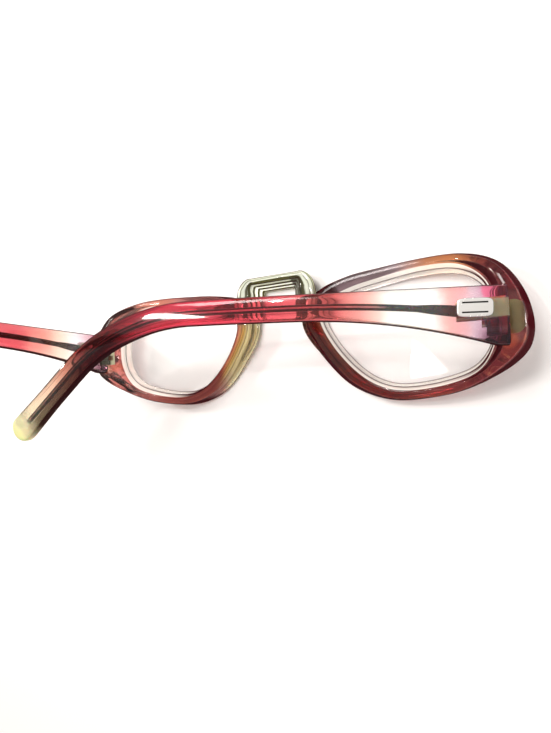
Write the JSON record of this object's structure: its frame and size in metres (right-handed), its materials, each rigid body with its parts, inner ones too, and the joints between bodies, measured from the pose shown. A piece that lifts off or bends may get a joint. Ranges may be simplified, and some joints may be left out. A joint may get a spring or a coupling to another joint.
{
  "type": "eyeglasses",
  "caption": "Thick translucent acetate eyeglasses with drop-shaped lenses, a terraced saddle bridge and wire-cored arms, one folded and one open",
  "frame": {"origin": "middle of the whole object's box in plan, on the surface that the fronts of the rims lie on", "axes": "+X to the wearer's right, +Y up the wearer's face, +Z back towards the ears"},
  "size_m": [0.1398, 0.048, 0.1522],
  "materials": {
    "front_acetate": "polished translucent acetate, rose brown fading to pale yellow at the bridge",
    "arm_acetate": "polished translucent acetate, lilac, clear, rose and maroon bands with a pale yellow-green tip",
    "pad_acetate": "polished clear acetate",
    "lens": "clear and colourless",
    "hinge_metal": "dark nickel silver",
    "core_metal": "dark drawn wire",
    "plaque_metal": "polished",
    "fastener_metal": "polished"
  },
  "bodies": {
    "front": {"front_frame": "front_acetate", "lens_right": "lens", "lens_left": "lens", "nose_pad_right": "pad_acetate", "nose_pad_left": "pad_acetate", "front_hinge_right": "hinge_metal", "front_hinge_left": "hinge_metal", "hinge_screw_right": "fastener_metal", "hinge_screw_left": "fastener_metal"},
    "right_temple": {"temple_right": "arm_acetate", "temple_hinge_right": "hinge_metal", "temple_rivets_right": "fastener_metal", "core_wire_right": "core_metal", "plaque_right": "plaque_metal"},
    "left_temple": {"temple_left": "arm_acetate", "temple_hinge_left": "hinge_metal", "temple_rivets_left": "fastener_metal", "core_wire_left": "core_metal", "plaque_left": "plaque_metal"}
  },
  "joints": [
    {"name": "right_fold", "type": "hinge", "parent": "front", "child": "right_temple", "pos_m": [0.0607, 0.00212, 0.0192], "axis": [0, -1, 0], "range_deg": [-80, 8]},
    {"name": "left_fold", "type": "hinge", "parent": "front", "child": "left_temple", "pos_m": [-0.0601, 0.00212, 0.0192], "axis": [0, 1, 0], "range_deg": [0, 36]}
  ]
}
